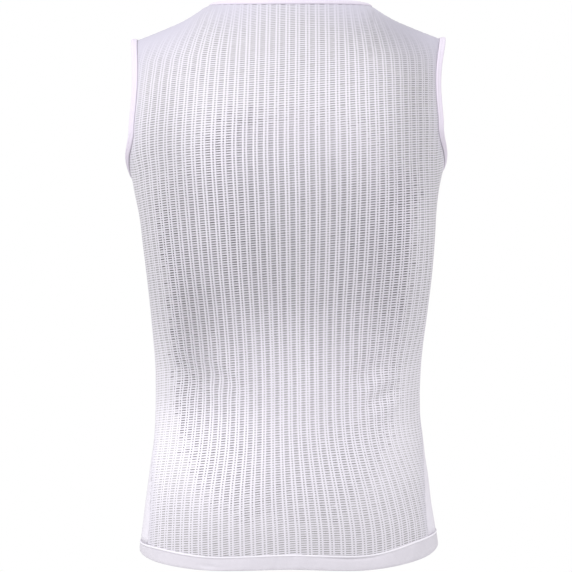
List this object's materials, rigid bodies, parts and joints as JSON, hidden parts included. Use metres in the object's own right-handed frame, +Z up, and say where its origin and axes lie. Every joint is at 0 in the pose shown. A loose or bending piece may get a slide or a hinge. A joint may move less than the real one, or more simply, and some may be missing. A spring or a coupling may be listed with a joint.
{
  "type": "sleeveless mesh base layer",
  "caption": "Sleeveless base layer, hollow as worn, with an open-mesh back, a fine ribbed front, bound neck and armholes and a turned hem band.",
  "frame": {"origin": "middle of the line where the wearer's shoulders carry it, 20 mm under the top of the back neck", "axes": "+Z up along the body, -Y the way the wearer faces (the back of the garment looks along +Y), +X the wearer's left"},
  "size_m": [0.3842, 0.242, 0.661],
  "materials": {
    "mesh_cloth": "matt open knit of lavender-white yarn",
    "ribbed_cloth": "matt fine ribbed knit, lavender-white",
    "binding_cloth": "smooth folded knit, lavender with a soft sheen",
    "hem_cloth": "smooth doubled knit with a raised seam, lavender"
  },
  "bodies": {
    "root": {"back_panel": "mesh_cloth", "front_panel": "ribbed_cloth", "neck_binding": "binding_cloth", "armhole_binding_left": "binding_cloth", "armhole_binding_right": "binding_cloth", "hem_band": "hem_cloth"}
  },
  "joints": []
}
